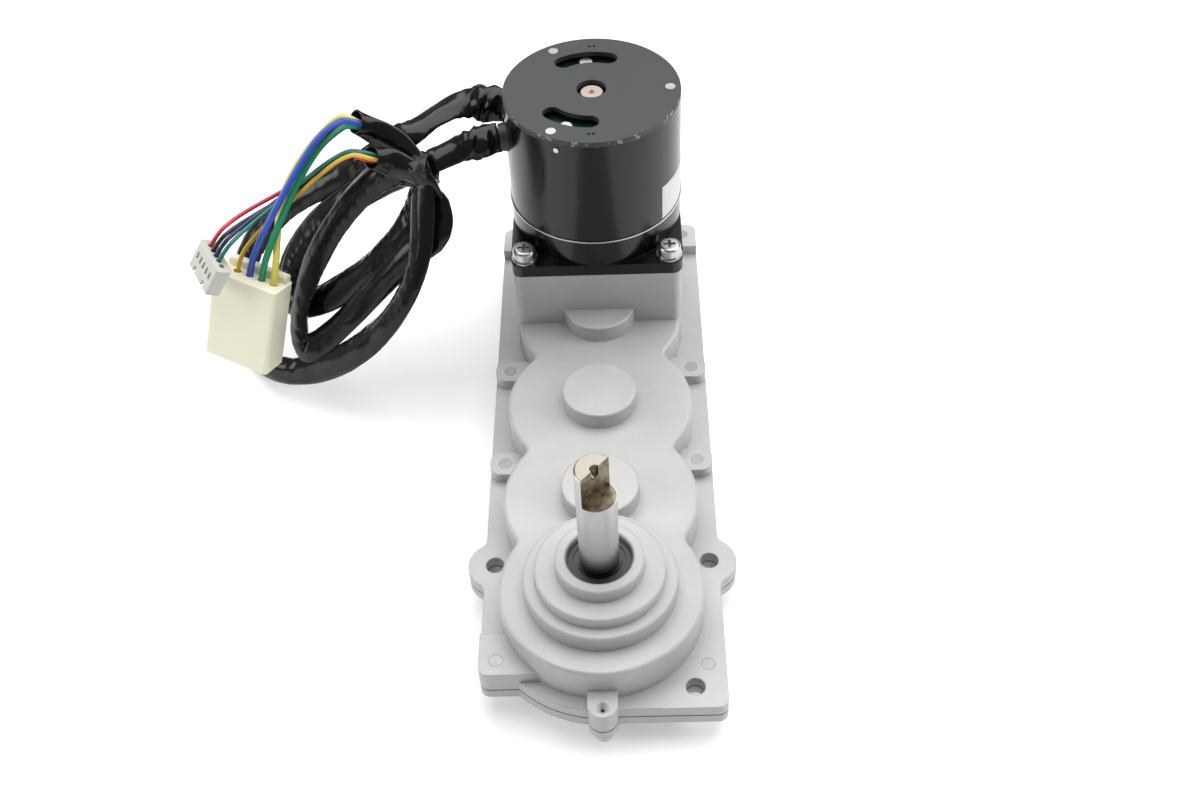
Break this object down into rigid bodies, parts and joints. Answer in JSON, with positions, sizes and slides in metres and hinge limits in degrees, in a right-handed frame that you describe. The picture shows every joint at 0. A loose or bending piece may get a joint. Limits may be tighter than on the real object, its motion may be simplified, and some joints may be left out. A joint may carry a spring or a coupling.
{
  "type": "gear motor",
  "caption": "brushless square-flange motor standing on one end of a long cast spur gearbox, half-round output shaft at the other end, tied cables with white connectors",
  "frame": {"origin": "on the output shaft's axis at the plane of the back cover's base face", "axes": "+Z along the output shaft, away from the base face; +Y along the casting from the output shaft to the motor; +X to the right when seen from the output end with the shaft up"},
  "size_m": [0.1846, 0.2199, 0.1082],
  "materials": {
    "cast_aluminium": "as cast and blasted, matte",
    "gasket_fibre": "pressed fibre, matte",
    "screw_steel": "bright zinc plated",
    "black_rubber": "matte",
    "shaft_steel": "ground, satin",
    "gear_steel": "hobbed, oiled",
    "bearing_steel": "ground and polished",
    "motor_black": "glossy black coat",
    "can_black": "glossy black coat",
    "cap_grey": "matte dark grey",
    "board_green": "solder mask, satin",
    "component_black": "moulded, matte",
    "lamination_steel": "stamped sheets",
    "winding_copper": "varnished copper wire",
    "magnet_grey": "nickel plated",
    "label_white": "blank, matte",
    "sleeve_black": "soft vinyl sleeve, wrinkled and glossy",
    "tie_black": "moulded nylon",
    "wire_pale_yellow": "extruded insulation",
    "wire_gold": "extruded insulation",
    "wire_blue": "extruded insulation",
    "wire_green": "extruded insulation",
    "wire_red": "extruded insulation",
    "wire_black": "extruded insulation",
    "nylon_ivory": "moulded nylon, satin",
    "nylon_white": "moulded nylon, slightly translucent"
  },
  "bodies": {
    "gearbox": {"front_housing": "cast_aluminium", "back_cover": "cast_aluminium", "housing_gasket": "gasket_fibre", "housing_screws": "screw_steel", "end_cap_screws": "screw_steel", "can_side_screw": "screw_steel", "board_screws": "screw_steel", "motor_screws": "screw_steel", "spring_washers": "screw_steel", "flat_washers": "screw_steel", "output_seal": "black_rubber", "cable_grommets": "black_rubber", "layshaft_bearing_outer_rings": "bearing_steel", "output_bearing_outer_rings": "bearing_steel", "motor_bearing_outer_rings": "bearing_steel", "wave_washer": "bearing_steel", "motor_front_flange": "motor_black", "motor_can": "can_black", "end_cap": "cap_grey", "circuit_board": "board_green", "board_components": "component_black", "stator_core": "lamination_steel", "stator_windings": "winding_copper", "motor_label": "label_white", "phase_cable_lead": "sleeve_black", "hall_cable_lead": "sleeve_black", "phase_cable_tail": "sleeve_black", "hall_cable_tail": "sleeve_black", "cable_bundle": "sleeve_black", "cable_tie": "tie_black", "phase_wire_yellow": "wire_pale_yellow", "hall_wire_yellow": "wire_gold", "phase_wire_blue": "wire_blue", "hall_wire_blue": "wire_blue", "phase_wire_green": "wire_green", "hall_wire_green": "wire_green", "hall_wire_red": "wire_red", "hall_wire_black": "wire_black", "phase_connector": "nylon_ivory", "hall_connector": "nylon_white"},
    "output": {"output_shaft": "shaft_steel", "output_gear": "gear_steel", "output_key": "shaft_steel", "output_bearing_inner_rings": "bearing_steel"},
    "third_shaft": {"third_pinion_shaft": "gear_steel", "third_gear": "gear_steel", "third_bearing_inner_rings": "bearing_steel"},
    "second_shaft": {"second_pinion_shaft": "gear_steel", "second_gear": "gear_steel", "second_bearing_inner_rings": "bearing_steel"},
    "first_shaft": {"first_pinion_shaft": "gear_steel", "first_gear": "gear_steel", "first_bearing_inner_rings": "bearing_steel"},
    "rotor": {"rotor_shaft": "shaft_steel", "rotor_core": "lamination_steel", "rotor_magnets": "magnet_grey", "sensor_magnet": "magnet_grey", "motor_bearing_inner_rings": "bearing_steel"}
  },
  "joints": [
    {"name": "output_spin", "type": "hinge", "parent": "gearbox", "child": "output", "pos_m": [0, 0, 0.02], "axis": [0, 0, 1], "continuous": true},
    {"name": "third_spin", "type": "hinge", "parent": "gearbox", "child": "third_shaft", "pos_m": [0, 0.03562, 0.02], "axis": [0, 0, 1], "continuous": true},
    {"name": "second_spin", "type": "hinge", "parent": "gearbox", "child": "second_shaft", "pos_m": [0, 0.07712, 0.02], "axis": [0, 0, 1], "continuous": true},
    {"name": "first_spin", "type": "hinge", "parent": "gearbox", "child": "first_shaft", "pos_m": [0, 0.11862, 0.02], "axis": [0, 0, 1], "continuous": true},
    {"name": "rotor_spin", "type": "hinge", "parent": "gearbox", "child": "rotor", "pos_m": [0, 0.14622, 0.02], "axis": [0, 0, 1], "continuous": true}
  ],
  "couplings": [
    {"joint": "third_spin", "follows": "output_spin", "ratio": -2.8},
    {"joint": "second_spin", "follows": "output_spin", "ratio": 4.6968},
    {"joint": "first_spin", "follows": "output_spin", "ratio": -7.8785},
    {"joint": "rotor_spin", "follows": "output_spin", "ratio": 37.423}
  ]
}
